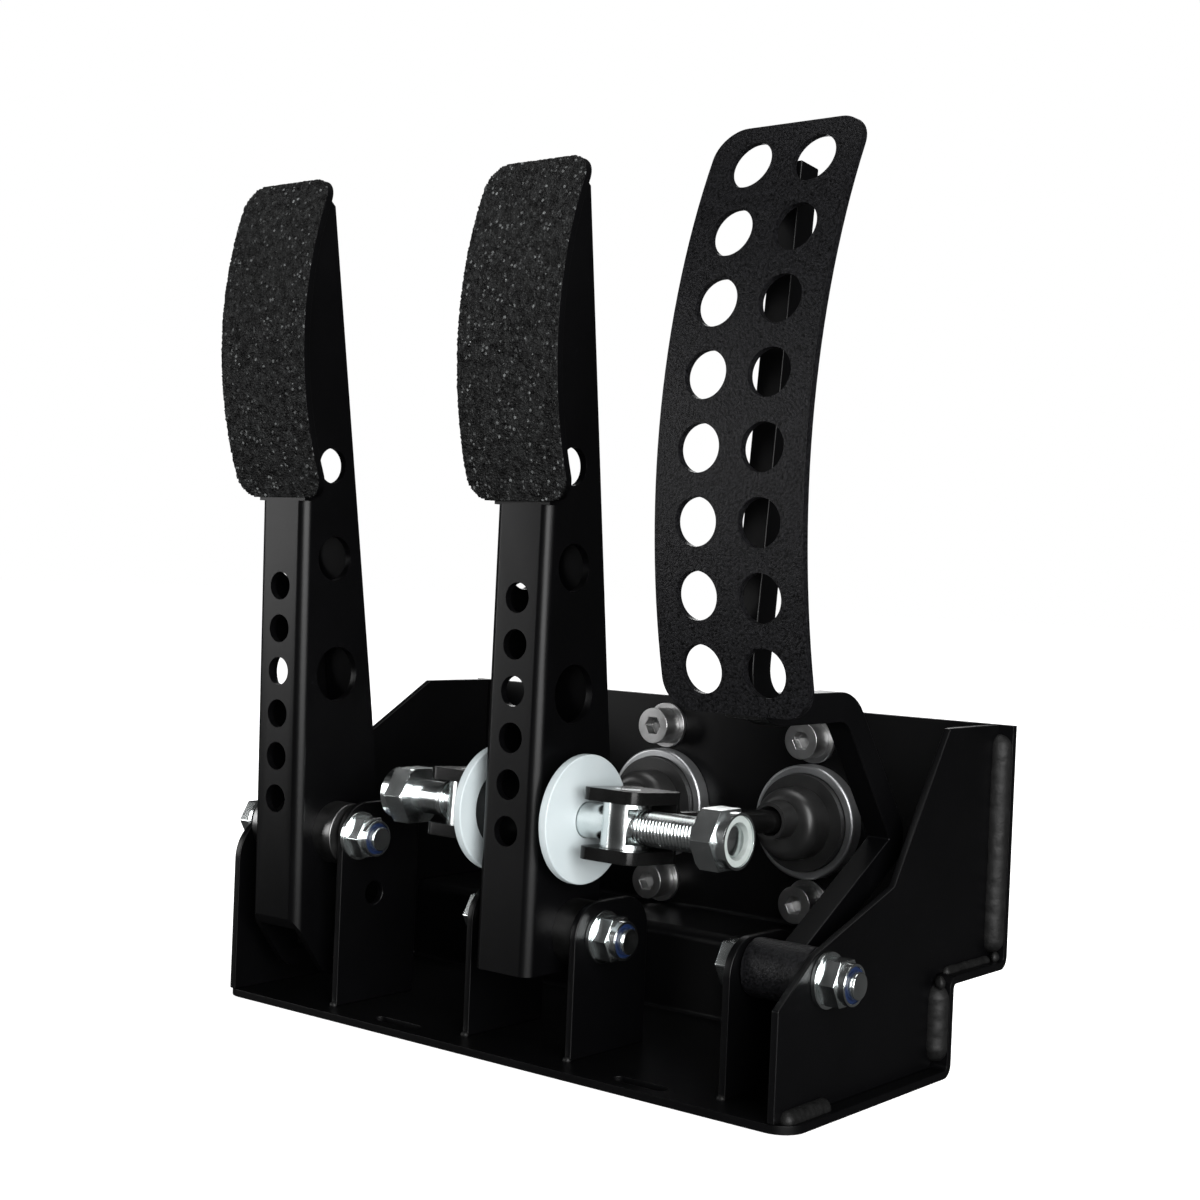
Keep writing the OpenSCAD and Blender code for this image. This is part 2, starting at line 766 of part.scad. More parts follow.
module pivot_bolt(p) {
    left = p[0] - washer_t - 2 * seat;
    tail = 2;
    hex_x(left - bolt_head_t, p[2], p[3], pivot_nut_af, bolt_head_t);
    rod_x(left - 1, p[2], p[3], pivot_d, p[1] - left + washer_t + pivot_nut_t + tail + 1);
}

module clutch_pivot_bolt() {
    color(zinc)
        pivot_bolt(clutch_pivot);
}

module brake_pivot_bolt() {
    color(zinc)
        pivot_bolt(brake_pivot);
}

module throttle_pivot_bolt() {
    color(zinc)
        pivot_bolt(throttle_pivot);
}

module washer_x(x, y, z, d, hole) {
    difference() {
        rod_x(x, y, z, d, washer_t);
        rod_x(x - 1, y, z, hole, washer_t + 2);
    }
}

module pivot_washers() {
    color(zinc)
        for (p = pivots) {
            washer_x(p[0] - washer_t - seat, p[2], p[3], pivot_washer_d, pivot_d + 2 * running);
            washer_x(p[1] + seat, p[2], p[3], pivot_washer_d, pivot_d + 2 * running);
        }
}

// A locking nut facing +X: chamfered hexagon, crimped collar and room for its insert
module lock_nut(x, y, z, af, length, hole) {
    hex_len = 0.68 * length;
    collar = 0.94 * af;
    lip = 0.8;
    difference() {
        union() {
            intersection() {
                hex_x(x, y, z, af, hex_len);
                translate([x, y, z])
                    rotate([0, 90, 0])
                        cylinder(d1 = 1.06 * af, d2 = 1.06 * af + 2 * hex_len, h = hex_len);
            }
            rod_x(x + hex_len - 0.1, y, z, collar, length - hex_len + 0.1);
        }
        rod_x(x - 1, y, z, hole + 2 * running, length + 2);
        rod_x(x + hex_len, y, z, collar - 2 * lip, length);
    }
}

// The nylon ring in a locking nut
module nut_insert(x, y, z, af, length, hole) {
    hex_len = 0.68 * length;
    collar = 0.94 * af;
    lip = 0.8;
    depth = length - hex_len - 0.5;
    difference() {
        rod_x(x + hex_len + seat, y, z, collar - 2 * lip - 2 * seat, depth);
        rod_x(x, y, z, hole + 2 * running, length + 2);
    }
}

module pivot_nuts() {
    color(zinc)
        for (p = pivots)
            lock_nut(p[1] + washer_t + 2 * seat, p[2], p[3], pivot_nut_af, pivot_nut_t, pivot_d);
}

module pivot_nut_inserts() {
    color(blue)
        for (p = pivots)
            nut_insert(p[1] + washer_t + 2 * seat, p[2], p[3], pivot_nut_af, pivot_nut_t, pivot_d);
}

// Back of the throttle pad at a height
function throttle_back(z) = throttle_pad_y + throttle_pad_t
    + sagitta(throttle_pad_r - throttle_pad_t, abs(z - throttle_pad_z));

// Points of a rounded corner at b, between a and c
function unit(v) = v / norm(v);
function corner(a, b, c, r, steps) = let (
    u = unit(a - b),
    w = unit(c - b),
    half = acos(u * w) / 2,
    o = b + unit(u + w) * r / sin(half),
    start = b + u * r / tan(half) - o,
    end = b + w * r / tan(half) - o,
    first = atan2(start[1], start[0]),
    turn = atan2(start[0] * end[1] - start[1] * end[0], start * end))
    [for (i = [0 : steps]) o + r * [cos(first + turn * i / steps), sin(first + turn * i / steps)]];

// Sideways step at a point of a route, mitred between its two stretches
function side_step(a, b) = let (d = unit(b - a)) [-d[1], d[0]];
function mitre(p, i) = let (
    last = len(p) - 1,
    n1 = side_step(p[max(i - 1, 0)], p[max(i - 1, 0) + 1]),
    n2 = side_step(p[min(i, last - 1)], p[min(i, last - 1) + 1]),
    m = n1 + n2)
    2 * m / (m * m);
function ribbon(p, h) = concat(
    [for (i = [0 : len(p) - 1]) p[i] + h * mitre(p, i)],
    [for (i = [len(p) - 1 : -1 : 0]) p[i] - h * mitre(p, i)]);

// Cranked throttle arm: chord behind the pad, shoulder, elbow and pivot
bar_back = throttle_bar / 2 + 0.5;
throttle_top = [throttle_back(bar_top_z) + bar_back, bar_top_z];
throttle_foot = [throttle_back(bar_foot_z) + bar_back - 1, bar_foot_z - throttle_bend_r];
throttle_shoulder = [pivot_y + shoulder_back - 2, bar_foot_z - throttle_bend_r];
throttle_elbow = [pivot_y + elbow_back, pivot_h + elbow_rise];
throttle_end = [pivot_y, pivot_h];
throttle_route = concat(
    [throttle_top],
    corner(throttle_top, throttle_foot, throttle_shoulder, throttle_bend_r, 8),
    corner(throttle_foot, throttle_shoulder, throttle_elbow, throttle_bend_r, 6),
    corner(throttle_shoulder, throttle_elbow, throttle_end, throttle_bar / 2 + 0.5, 8),
    [throttle_end]);

module throttle_arm() {
    color(black)
        difference() {
            along_x(throttle_x - throttle_arm_t / 2, throttle_arm_t)
                polygon(ribbon(throttle_route, throttle_bar / 2));
            rod_x(throttle_x - throttle_arm_t, pivot_y, pivot_h,
                throttle_tube_d + 2 * seat, 2 * throttle_arm_t);
        }
}

module throttle_pad() {
    first = throttle_pad_mid - throttle_hole_pitch * (throttle_rows - 1) / 2;
    middle = throttle_x - throttle_pad_shift;
    color(black)
        difference() {
            curved_plate(middle, throttle_pad_w, throttle_pad_low, throttle_pad_h, throttle_pad_y,
                throttle_pad_z, throttle_pad_r, throttle_pad_t, throttle_corner_r);
            for (i = [0 : throttle_rows - 1], side = [-1, 1])
                rod_y(middle + side * throttle_hole_gap / 2, throttle_pad_y - 5,
                    first + i * throttle_hole_pitch, throttle_hole_d, 60);
        }
}

// Housing tube welded through the brake arm
module balance_tube() {
    color(black)
        difference() {
            rod_x(-tube_len / 2, bar_y, bar_z, tube_d, tube_len);
            rod_x(-tube_len / 2 - 1, bar_y, bar_z, tube_bore, tube_len + 2);
        }
}

// Outer race of the spherical bearing, seated in the tube
module balance_bearing() {
    color(zinc)
        translate([0, bar_y, bar_z])
            rotate([0, 90, 0])
                rotate_extrude()
                    difference() {
                        translate([0, -bearing_w / 2])
                            square([tube_bore / 2 - seat, bearing_w]);
                        circle(d = ball_d + 2 * running);
                    }
}

// The threaded balance bar with its ball
module balance_bar() {
    color(zinc) {
        rod_x(-bar_left, bar_y, bar_z, bar_d, bar_left + bar_right);
        translate([0, bar_y, bar_z])
            intersection() {
                sphere(d = ball_d);
                cube([bearing_w + 1, ball_d, ball_d], center = true);
            }
    }
}

// Thin ring outside the left trunnion
module balance_ring() {
    ring_t = 2;
    x = cylinder_x(-1) - trunnion_d / 2 - 0.3 - ring_t;
    color(zinc)
        difference() {
            rod_x(x, bar_y, bar_z, bar_ring_d, ring_t);
            rod_x(x - 1, bar_y, bar_z, bar_d + 2 * running, ring_t + 2);
        }
}

// Both end nuts; the left one faces the other way
module balance_nuts() {
    color(zinc) {
        lock_nut(bar_right + bar_recess - bar_nut_t, bar_y, bar_z, bar_nut_af, bar_nut_t, bar_d);
        mirror([1, 0, 0])
            lock_nut(bar_left + bar_recess - bar_nut_t, bar_y, bar_z, bar_nut_af, bar_nut_t, bar_d);
    }
}

module balance_nut_inserts() {
    color(white) {
        nut_insert(bar_right + bar_recess - bar_nut_t, bar_y, bar_z, bar_nut_af, bar_nut_t, bar_d);
        mirror([1, 0, 0])
            nut_insert(bar_left + bar_recess - bar_nut_t, bar_y, bar_z, bar_nut_af, bar_nut_t, bar_d);
    }
}

module nylon_disc(x) {
    color(white)
        difference() {
            rod_x(x, bar_y, bar_z, disc_d, disc_t);
            rod_x(x - 1, bar_y, bar_z, bar_d + 2 * running, disc_t + 2);
        }
}

module nylon_disc_left() {
    nylon_disc(-disc_x - disc_t);
}

module nylon_disc_right() {
    nylon_disc(disc_x);
}

// Places a pushrod piece: Y runs along the rod from the balance bar
module on_pushrod(side) {
    translate([cylinder_x(side), bar_y, bar_z])
        rotate([-pushrod_drop, 0, 0])
            children();
}

// Barrel with two end journals, waisted and cross drilled for the balance bar
module trunnion(side) {
    barrel = clevis_gap - 2 * seat;
    total = clevis_gap + 2 * clevis_t;
    color(zinc)
        on_pushrod(side)
            difference() {
                union() {
                    cylinder(d = trunnion_d, h = barrel, center = true);
                    cylinder(d = journal_d, h = total, center = true);
                }
                rotate([0, 90, 0])
                    cylinder(d = bar_d + 2 * running, h = 2 * trunnion_d, center = true);
                for (face = [-1, 1])
                    translate([face * (trunnion_flat + trunnion_d) / 2, 0, 0])
                        cube([trunnion_d, 2 * trunnion_d, barrel - 2 * trunnion_flange], center = true);
            }
}

module trunnion_left() {
    trunnion(-1);
}

module trunnion_right() {
    trunnion(1);
}

// Fork of two flat arms joined by a block that takes the pushrod's thread
module clevis(side) {
    outer = clevis_gap + 2 * clevis_t;
    color(oxide)
        on_pushrod(side)
            difference() {
                intersection() {
                    along_x(-clevis_w / 2, clevis_w)
                        translate([-clevis_w / 2, -outer / 2])
                            square([clevis_w / 2 + clevis_len, outer]);
                    translate([0, 0, -outer])
                        linear_extrude(2 * outer)
                            translate([0, (clevis_len - clevis_w / 2) / 2])
                                rounded_rect(clevis_w, clevis_len + clevis_w / 2, clevis_corner_r);
                }
                along_x(-clevis_w, 2 * clevis_w)
                    translate([-clevis_w, -clevis_gap / 2])
                        square([clevis_w + clevis_len - clevis_neck, clevis_gap]);
                cylinder(d = journal_d + 2 * seat, h = 2 * outer, center = true);
                rod_y(0, clevis_len - clevis_neck - 1, 0, pushrod_d + 2 * seat, clevis_neck + 2);
            }
}

module clevis_left() {
    clevis(-1);
}

module clevis_right() {
    clevis(1);
}

// Threaded rod with a round nose that bears in the piston
module pushrod(side) {
    start = clevis_len - clevis_neck;
    nose = pushrod_d / 2;
    color(oxide)
        on_pushrod(side) {
            rod_y(0, start, 0, pushrod_d, pushrod_len - start - nose);
            translate([0, pushrod_len - nose, 0])
                sphere(d = pushrod_d);
        }
}

module pushrod_left() {
    pushrod(-1);
}

module pushrod_right() {
    pushrod(1);
}

// Hexagon lock nut that holds the pushrod in its clevis
module clevis_locknut(side) {
    nut_t = 6;
    color(oxide)
        on_pushrod(side)
            difference() {
                translate([0, clevis_len + seat, 0])
                    rotate([-90, 0, 0])
                        cylinder(d = pivot_nut_af / cos(30), h = nut_t, $fn = 6);
                rod_y(0, clevis_len - 1, 0, pushrod_d + 2 * seat, nut_t + 2);
            }
}

module clevis_locknuts_left() {
    clevis_locknut(-1);
}

module clevis_locknuts_right() {
    clevis_locknut(1);
}

// Flange outline: a lozenge with round ends at the bolts
module flange_outline() {
    lug = cylinder_bolt_d + 1;
    waist = cylinder_d / 2 + 4;
    circle(waist);
    for (end = [-1, 1]) {
        translate([0, end * flange_bolts / 2])
            circle(lug);
        polygon([[-lug, end * flange_bolts / 2], [lug, end * flange_bolts / 2],
            [0.8 * waist, end * waist * 0.5], [-0.8 * waist, end * waist * 0.5]]);
    }
}

// Cast body with its flange behind the wall, a spigot through it, an inlet boss and an outlet port
module master_cylinder(side) {
    flange_y = upper_wall_y + seat;
    end_y = flange_y + flange_t + cylinder_len;
    inlet_y = flange_y + flange_t + 0.35 * cylinder_len;
    inlet_h = cylinder_d / 2 + 9;
    boss_d = 15;
    color(alloy)
        translate([cylinder_x(side), 0, cylinder_h])
            difference() {
                union() {
                    along_y(flange_y, flange_t)
                        flange_outline();
                    rod_y(0, wall_face_y - seat, 0, cylinder_d, sheet_t + 1);
                    rod_y(0, flange_y, 0, cylinder_d, flange_t + cylinder_len);
                    rod_y(0, end_y - 1, 0, 0.66 * cylinder_d, 13);
                    translate([0, inlet_y, 0])
                        cylinder(d = boss_d, h = inlet_h);
                }
                rod_y(0, wall_face_y - 1, 0, cylinder_bore, end_y - wall_face_y - 12);
                rod_y(0, end_y - 20, 0, 4, 40);
                rod_y(0, end_y, 0, port_d, 20);
                translate([0, inlet_y, 0])
                    cylinder(d = port_d, h = inlet_h + 1);
                for (end = [-1, 1])
                    translate([0, 0, end * flange_bolts / 2])
                        rod_y(0, flange_y - 1, 0, cylinder_bolt_d + 2 * running, flange_t + 2);
            }
}

module cylinder_left() {
    master_cylinder(-1);
}

module cylinder_right() {
    master_cylinder(1);
}

// Piston with a cup for the pushrod's nose and a seal groove
module piston(side) {
    cup = pushrod_d + 1.2;
    y = pushrod_end_y - pushrod_d / 2;
    length = 34;
    d = cylinder_bore - 2 * running;
    color(alloy)
        translate([cylinder_x(side), 0, cylinder_h])
            difference() {
                rod_y(0, y, 0, d, length);
                rod_y(0, y - 1, 0, cup, 1 + pushrod_d / 2);
                translate([0, y + pushrod_d / 2, 0])
                    sphere(d = cup);
                difference() {
                    rod_y(0, y + 0.6 * length, 0, d + 2, 3);
                    rod_y(0, y + 0.6 * length - 1, 0, d - 5, 5);
                }
            }
}

module piston_left() {
    piston(-1);
}

module piston_right() {
    piston(1);
}

// Turned ring on the wall's face that traps the boot's rim
module boot_collar(side) {
    edge = collar_lip / 3;
    color(alloy)
        translate([cylinder_x(side), wall_face_y - seat, cylinder_h])
            rotate([90, 0, 0])
                rotate_extrude()
                    difference() {
                        translate([collar_d / 2 - collar_lip, 0])
                            square([collar_lip, collar_t]);
                        translate([collar_d / 2 - edge, collar_t - edge])
                            difference() {
                                square(2 * edge);
                                circle(edge);
                            }
                    }
}

module boot_collar_left() {
    boot_collar(-1);
}

module boot_collar_right() {
    boot_collar(1);
}

// Rubber boot: rim in the collar, domed part, and a neck around the sloping pushrod
module boot(side) {
    rim = collar_d / 2 - collar_lip - seat;
    dome = boot_dome_d / 2;
    dome_len = collar_t + boot_len - boot_neck_len;
    bore = pushrod_d + 2 * boot_play;
    color(rubber)
        difference() {
            union() {
                translate([cylinder_x(side), wall_face_y - seat, cylinder_h])
                    rotate([90, 0, 0])
                        rotate_extrude()
                            difference() {
                                union() {
                                    square([rim, collar_t + 2 * boot_t]);
                                    square([dome, dome_len - boot_dome_r]);
                                    square([dome - boot_dome_r, dome_len]);
                                    translate([dome - boot_dome_r, dome_len - boot_dome_r])
                                        circle(boot_dome_r);
                                }
                                translate([-dome, -1])
                                    square([2 * dome - boot_t, dome_len - boot_dome_r + 1]);
                                translate([-dome, -1])
                                    square([2 * dome - boot_dome_r, dome_len - boot_t + 1]);
                                translate([-dome, -dome])
                                    square([dome, 4 * dome]);
                            }
                rod_y(cylinder_x(side), boot_front_y, boot_neck_z,
                    bore + 2 * boot_t, boot_neck_len + boot_t / 2);
            }
            rod_y(cylinder_x(side), boot_front_y - 1, boot_neck_z, bore, boot_neck_len + 4 * boot_t);
        }
}

module boot_left() {
    boot(-1);
}

module boot_right() {
    boot(1);
}

// Repeats a piece at the four cylinder bolts, on the wall's front face
module at_cylinder_bolts() {
    for (side = [-1, 1], end = [-1, 1])
        translate([cylinder_x(side), 0, cylinder_h + end * flange_bolts / 2])
            children();
}

module cylinder_screws() {
    head_t = cylinder_bolt_d;
    head_y = wall_face_y - washer_t - 2 * seat;
    shank = sheet_t + flange_t + 2 * washer_t + cylinder_bolt_d + 3;
    socket_af = 0.75 * cylinder_bolt_d;
    color(zinc)
        at_cylinder_bolts()
            difference() {
                union() {
                    rod_y(0, head_y - head_t, 0, cap_head_d, head_t);
                    rod_y(0, head_y - 1, 0, cylinder_bolt_d, shank + 1);
                }
                translate([0, head_y - head_t - 1, 0])
                    rotate([-90, 0, 0])
                        cylinder(d = socket_af / cos(30), h = 1 + head_t / 2, $fn = 6);
            }
}

module cylinder_washers() {
    color(zinc)
        at_cylinder_bolts()
            for (y = [wall_face_y - washer_t - seat, upper_wall_y + flange_t + 2 * seat])
                difference() {
                    rod_y(0, y, 0, pivot_washer_d, washer_t);
                    rod_y(0, y - 1, 0, cylinder_bolt_d + 2 * running, washer_t + 2);
                }
}

module cylinder_nuts() {
    nut_t = 0.8 * cylinder_bolt_d;
    y = upper_wall_y + flange_t + washer_t + 3 * seat;
    color(zinc)
        at_cylinder_bolts()
            difference() {
                translate([0, y, 0])
                    rotate([-90, 0, 0])
                        cylinder(d = pivot_nut_af / cos(30), h = nut_t, $fn = 6);
                rod_y(0, y - 1, 0, cylinder_bolt_d + 2 * running, nut_t + 2);
            }
}

base_sheet();
left_side_plate();
right_side_plate();
clutch_bracket();
brake_bracket_left();
brake_bracket_right();
throttle_bracket();
clutch_arm();
clutch_arm_back();
clutch_pad();
clutch_grip();
clutch_pivot_sleeve();
clutch_pivot_bolt();
brake_arm();
brake_arm_back();
brake_pad();
brake_grip();
brake_pivot_sleeve();
brake_pivot_bolt();
throttle_arm();
throttle_pad();
throttle_pivot_tube();
throttle_pivot_bolt();
pivot_washers();
pivot_nuts();
pivot_nut_inserts();
balance_tube();
balance_bearing();
balance_bar();
balance_ring();
balance_nuts();
balance_nut_inserts();
nylon_disc_left();
nylon_disc_right();
trunnion_left();
trunnion_right();
clevis_left();
clevis_right();
pushrod_left();
pushrod_right();
clevis_locknuts_left();
clevis_locknuts_right();
cylinder_left();
cylinder_right();
piston_left();
piston_right();
boot_collar_left();
boot_collar_right();
boot_left();
boot_right();
cylinder_screws();
cylinder_washers();
cylinder_nuts();
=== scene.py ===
"""Looks of the pedal box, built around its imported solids."""

import json
import math

import bpy
from mathutils import Matrix, Vector, noise


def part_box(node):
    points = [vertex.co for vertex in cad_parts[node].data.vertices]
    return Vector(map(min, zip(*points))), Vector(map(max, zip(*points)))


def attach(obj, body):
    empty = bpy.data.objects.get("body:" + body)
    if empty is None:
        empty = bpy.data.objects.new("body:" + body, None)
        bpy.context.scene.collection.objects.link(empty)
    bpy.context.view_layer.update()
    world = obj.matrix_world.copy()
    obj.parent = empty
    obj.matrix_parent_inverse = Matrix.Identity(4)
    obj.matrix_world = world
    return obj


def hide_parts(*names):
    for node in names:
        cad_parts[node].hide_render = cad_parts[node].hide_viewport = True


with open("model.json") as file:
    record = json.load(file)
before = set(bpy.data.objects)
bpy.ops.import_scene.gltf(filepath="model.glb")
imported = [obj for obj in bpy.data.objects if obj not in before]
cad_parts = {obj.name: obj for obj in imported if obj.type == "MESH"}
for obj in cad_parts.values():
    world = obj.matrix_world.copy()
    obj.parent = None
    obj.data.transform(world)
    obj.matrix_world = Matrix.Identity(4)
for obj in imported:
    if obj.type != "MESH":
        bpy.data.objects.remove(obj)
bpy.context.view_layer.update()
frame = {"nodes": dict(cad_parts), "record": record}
NODES = frame["nodes"]
MM = 0.001

# Sizes of the folded sheet that its box doesn't give, in millimetres
SHEET = 2.5
STEP_TOP = 31.5
LOWER_WALL = 20.5


def corners(node):
    """A node's lowest and highest corner, in millimetres."""
    low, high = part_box(node)
    return low / MM, high / MM


class Socket:
    """A shader value that takes part in arithmetic like a number."""

    def __init__(self, paint, out):
        self.paint = paint
        self.out = out

    def maths(self, operation, other, flip=False, clamp=False):
        first, second = (other, self) if flip else (self, other)
        settings = {"operation": operation, "use_clamp": clamp}
        return self.paint.node("ShaderNodeMath", settings, {0: first, 1: second})

    def __add__(self, other):
        return self.maths("ADD", other)

    def __radd__(self, other):
        return self.maths("ADD", other, flip=True)

    def __sub__(self, other):
        return self.maths("SUBTRACT", other)

    def __rsub__(self, other):
        return self.maths("SUBTRACT", other, flip=True)

    def __mul__(self, other):
        return self.maths("MULTIPLY", other)

    def __truediv__(self, other):
        return self.maths("DIVIDE", other)

    def __gt__(self, other):
        return self.maths("GREATER_THAN", other)

    def __lt__(self, other):
        return self.maths("LESS_THAN", other)

    def clamped(self):
        return self.maths("ADD", 0.0, clamp=True)

    def span(self, low, high):
        """0 at low, 1 at high, held between."""
        return ((self - low) / (high - low)).clamped()


class Graph:
    """Makes and joins the nodes of one tree."""

    def __init__(self, tree):
        self.tree = tree

    def node(self, kind, settings, sockets, out=0):
        made = self.tree.nodes.new(kind)
        for key, value in settings.items():
            setattr(made, key, value)
        for key, value in sockets.items():
            self.feed(made.inputs[key], value)
        return Socket(self, made.outputs[out]) if made.outputs else None

    def feed(self, target, value):
        if isinstance(value, Socket):
            self.tree.links.new(value.out, target)
        else:
            target.default_value = value

    def by_ray(self, ray, otherwise, shader):
        """One shader for a kind of ray, another for the rest."""
        chosen = self.node("ShaderNodeLightPath", {}, {}, ray)
        return self.node("ShaderNodeMixShader", {}, {0: chosen, 1: otherwise, 2: shader})


class Paint(Graph):
    """One procedural material."""

    def __init__(self, name):
        self.mat = bpy.data.materials.new(name)
        self.mat.use_nodes = True
        super().__init__(self.mat.node_tree)
        self.shader = self.tree.nodes["Principled BSDF"]
        self.place = self.node("ShaderNodeTexCoord", {}, {}, "Object")

    def set(self, **values):
        for key, value in values.items():
            self.feed(self.shader.inputs[key.replace("_", " ").title().replace("Ior", "IOR")], value)

    def noise(self, scale, detail=2.0, rough=0.5):
        sockets = {"Vector": self.place, "Scale": scale, "Detail": detail, "Roughness": rough}
        return self.node("ShaderNodeTexNoise", {}, sockets, "Fac")

    def cells(self, scale, out="Distance"):
        return self.node("ShaderNodeTexVoronoi", {}, {"Vector": self.place, "Scale": scale}, out)

    def chance(self, scale):
        """A random number for each cell."""
        return self.node("ShaderNodeSeparateColor", {}, {"Color": self.cells(scale, "Color")}, "Red")

    def mix(self, factor, first, second):
        sockets = {"Factor": factor, 6: (*first, 1.0), 7: (*second, 1.0)}
        return self.node("ShaderNodeMix", {"data_type": "RGBA"}, sockets, 2)

    def bump(self, height, strength, distance):
        sockets = {"Height": height, "Strength": strength, "Distance": distance}
        return self.node("ShaderNodeBump", {}, sockets, "Normal")


def black_coat(name, shine):
    """Satin powder coat: faint orange peel, soft clouds and a few pale specks."""
    p = Paint(name)
    peel = p.noise(700.0, 2.0)
    cloud = p.noise(28.0, 4.0, 0.6)
    speck = (p.cells(260.0) < 0.09) * (p.chance(260.0) > 0.965)
    tone = cloud * 0.2 + speck * 0.8
    p.set(base_color=p.mix(tone, (0.0003, 0.0003, 0.0004), (0.006, 0.006, 0.007)))
    p.set(roughness=0.31 + cloud * 0.08, specular_ior_level=shine)
    p.set(normal=p.bump(peel, 0.10, 0.00015))
    return p.mat


def weld_coat():
    """The same coat over a weld, rougher and lumpy."""
    p = Paint("weld_coat")
    lumps = p.noise(420.0, 3.0)
    p.set(base_color=p.mix(lumps, (0.0012, 0.0012, 0.0012), (0.007, 0.007, 0.007)))
    p.set(roughness=0.42 + lumps * 0.2, specular_ior_level=0.2)
    p.set(normal=p.bump(lumps, 0.35, 0.0006))
    return p.mat


def throttle_coat():
    """Fine-grained coat of the throttle pad, with a dry sheen."""
    p = Paint("throttle_coat")
    grain = p.noise(1250.0, 3.0, 0.7).span(0.36, 0.66)
    cloud = p.noise(24.0, 3.0)
    p.set(base_color=p.mix(grain, (0.0002, 0.0002, 0.0003), (0.008, 0.008, 0.009)))
    p.set(roughness=0.28 + cloud * 0.08, specular_ior_level=0.16)
    p.set(normal=p.bump(grain, 0.6, 0.00014))
    return p.mat


def grit():
    """Coarse black grit: dull grains, and a few pale spots in the colour that are painted glints."""
    p = Paint("grit")
    fine = p.cells(1500.0)
    clump = p.noise(420.0, 2.0, 0.6).span(0.38, 0.72)
    # Pale cells in the base colour: painted glints of grains catching the light
    painted_glint = (p.cells(580.0) < 0.31) * (p.chance(580.0) > 0.45) * p.chance(470.0) * p.chance(350.0)
    # The tone mixes the grains' own clumping with the painted glints
    tone = clump * 0.05 + painted_glint * 0.5
    p.set(base_color=p.mix(tone, (0.0008, 0.0008, 0.0009), (0.24, 0.25, 0.25)))
    p.set(roughness=0.55, specular_ior_level=0.17)
    p.set(normal=p.bump(1.0 - fine, 0.9, 0.0005))
    return p.mat


def zinc():
    """Bright zinc plate, slightly clouded and a little blue."""
    p = Paint("zinc_steel")
    cloud = p.noise(150.0, 4.0)
    fine = p.noise(1500.0, 2.0)
    p.set(base_color=p.mix(cloud, (0.62, 0.66, 0.66), (0.84, 0.87, 0.87)))
    p.set(roughness=0.12 + cloud * 0.18, metallic=1.0)
    p.set(normal=p.bump(fine, 0.05, 0.0001))
    return p.mat


def dull_steel(name, shade):
    """Plain steel of the cylinders' screws and the pivot sleeves, duller than the zinc; the sleeves' darker
    copy is also painted shade.
    """
    p = Paint(name)
    cloud = p.noise(220.0, 3.0)
    p.set(base_color=p.mix(cloud, (shade, shade, shade), (shade * 1.5, shade * 1.5, shade * 1.5)))
    p.set(roughness=0.24 + cloud * 0.16, metallic=1.0)
    return p.mat


def grey_nylon():
    """The nuts' locking rings, greyer than the discs."""
    p = Paint("grey_nylon")
    cloud = p.noise(400.0, 3.0)
    p.set(base_color=p.mix(cloud, (0.20, 0.22, 0.21), (0.30, 0.33, 0.32)), roughness=0.4)
    return p.mat


def cast_alloy():
    p = Paint("cast_alloy")
    grain = p.noise(1400.0, 3.0, 0.6)
    cloud = p.noise(90.0, 3.0)
    p.set(base_color=p.mix(cloud * 0.6 + grain * 0.4, (0.40, 0.41, 0.42), (0.60, 0.61, 0.62)))
    p.set(roughness=0.36 + grain * 0.14, metallic=1.0)
    p.set(normal=p.bump(grain, 0.12, 0.0002))
    return p.mat


def white_nylon():
    """Turned nylon: cool white, faintly clouded."""
    p = Paint("white_nylon")
    cloud = p.noise(90.0, 3.0)
    fine = p.noise(1700.0, 2.0)
    p.set(base_color=p.mix(cloud, (0.32, 0.365, 0.375), (0.38, 0.415, 0.425)), roughness=0.36 + cloud * 0.12)
    p.set(normal=p.bump(fine, 0.06, 0.0001))
    return p.mat


def blue_nylon():
    p = Paint("blue_nylon")
    cloud = p.noise(300.0, 2.0)
    p.set(base_color=p.mix(cloud, (0.003, 0.008, 0.028), (0.006, 0.015, 0.052)), roughness=0.3 + cloud * 0.1)
    return p.mat


def boot_rubber():
    p = Paint("boot_rubber")
    dust = p.noise(160.0, 4.0)
    fine = p.noise(1800.0, 2.0)
    p.set(base_color=p.mix(dust, (0.007, 0.007, 0.007), (0.019, 0.019, 0.019)))
    p.set(roughness=0.30 + dust * 0.14, specular_ior_level=0.5)
    p.set(normal=p.bump(fine, 0.08, 0.0002))
    return p.mat


def black_oxide():
    """Oiled black oxide: dark polished steel with hard highlights."""
    p = Paint("black_oxide")
    wear = p.noise(140.0, 4.0)
    p.set(base_color=p.mix(wear, (0.002, 0.002, 0.002), (0.006, 0.006, 0.006)))
    p.set(roughness=0.12 + wear * 0.12, specular_ior_level=0.16)
    return p.mat


MATERIALS = {
    "black_coat": black_coat("black_coat", 0.18),
    "grit": grit(),
    "zinc_steel": zinc(),
    "cast_alloy": cast_alloy(),
    "white_nylon": white_nylon(),
    "blue_nylon": blue_nylon(),
    "boot_rubber": boot_rubber(),
    "black_oxide": black_oxide(),
}
WELD_COAT = weld_coat()
THROTTLE_COAT = throttle_coat()
# For the arms' back plates, whose inner faces show through the arms' holes: a copy of the coat with weaker
# reflections, as painted shade
SHADED_COAT = black_coat("shaded_coat", 0.06)
SCREW_STEEL = dull_steel("screw_steel", 0.34)
# The sleeves' steel is darker than the screws' as painted shade
SHADED_SLEEVE_STEEL = dull_steel("shaded_sleeve_steel", 0.12)
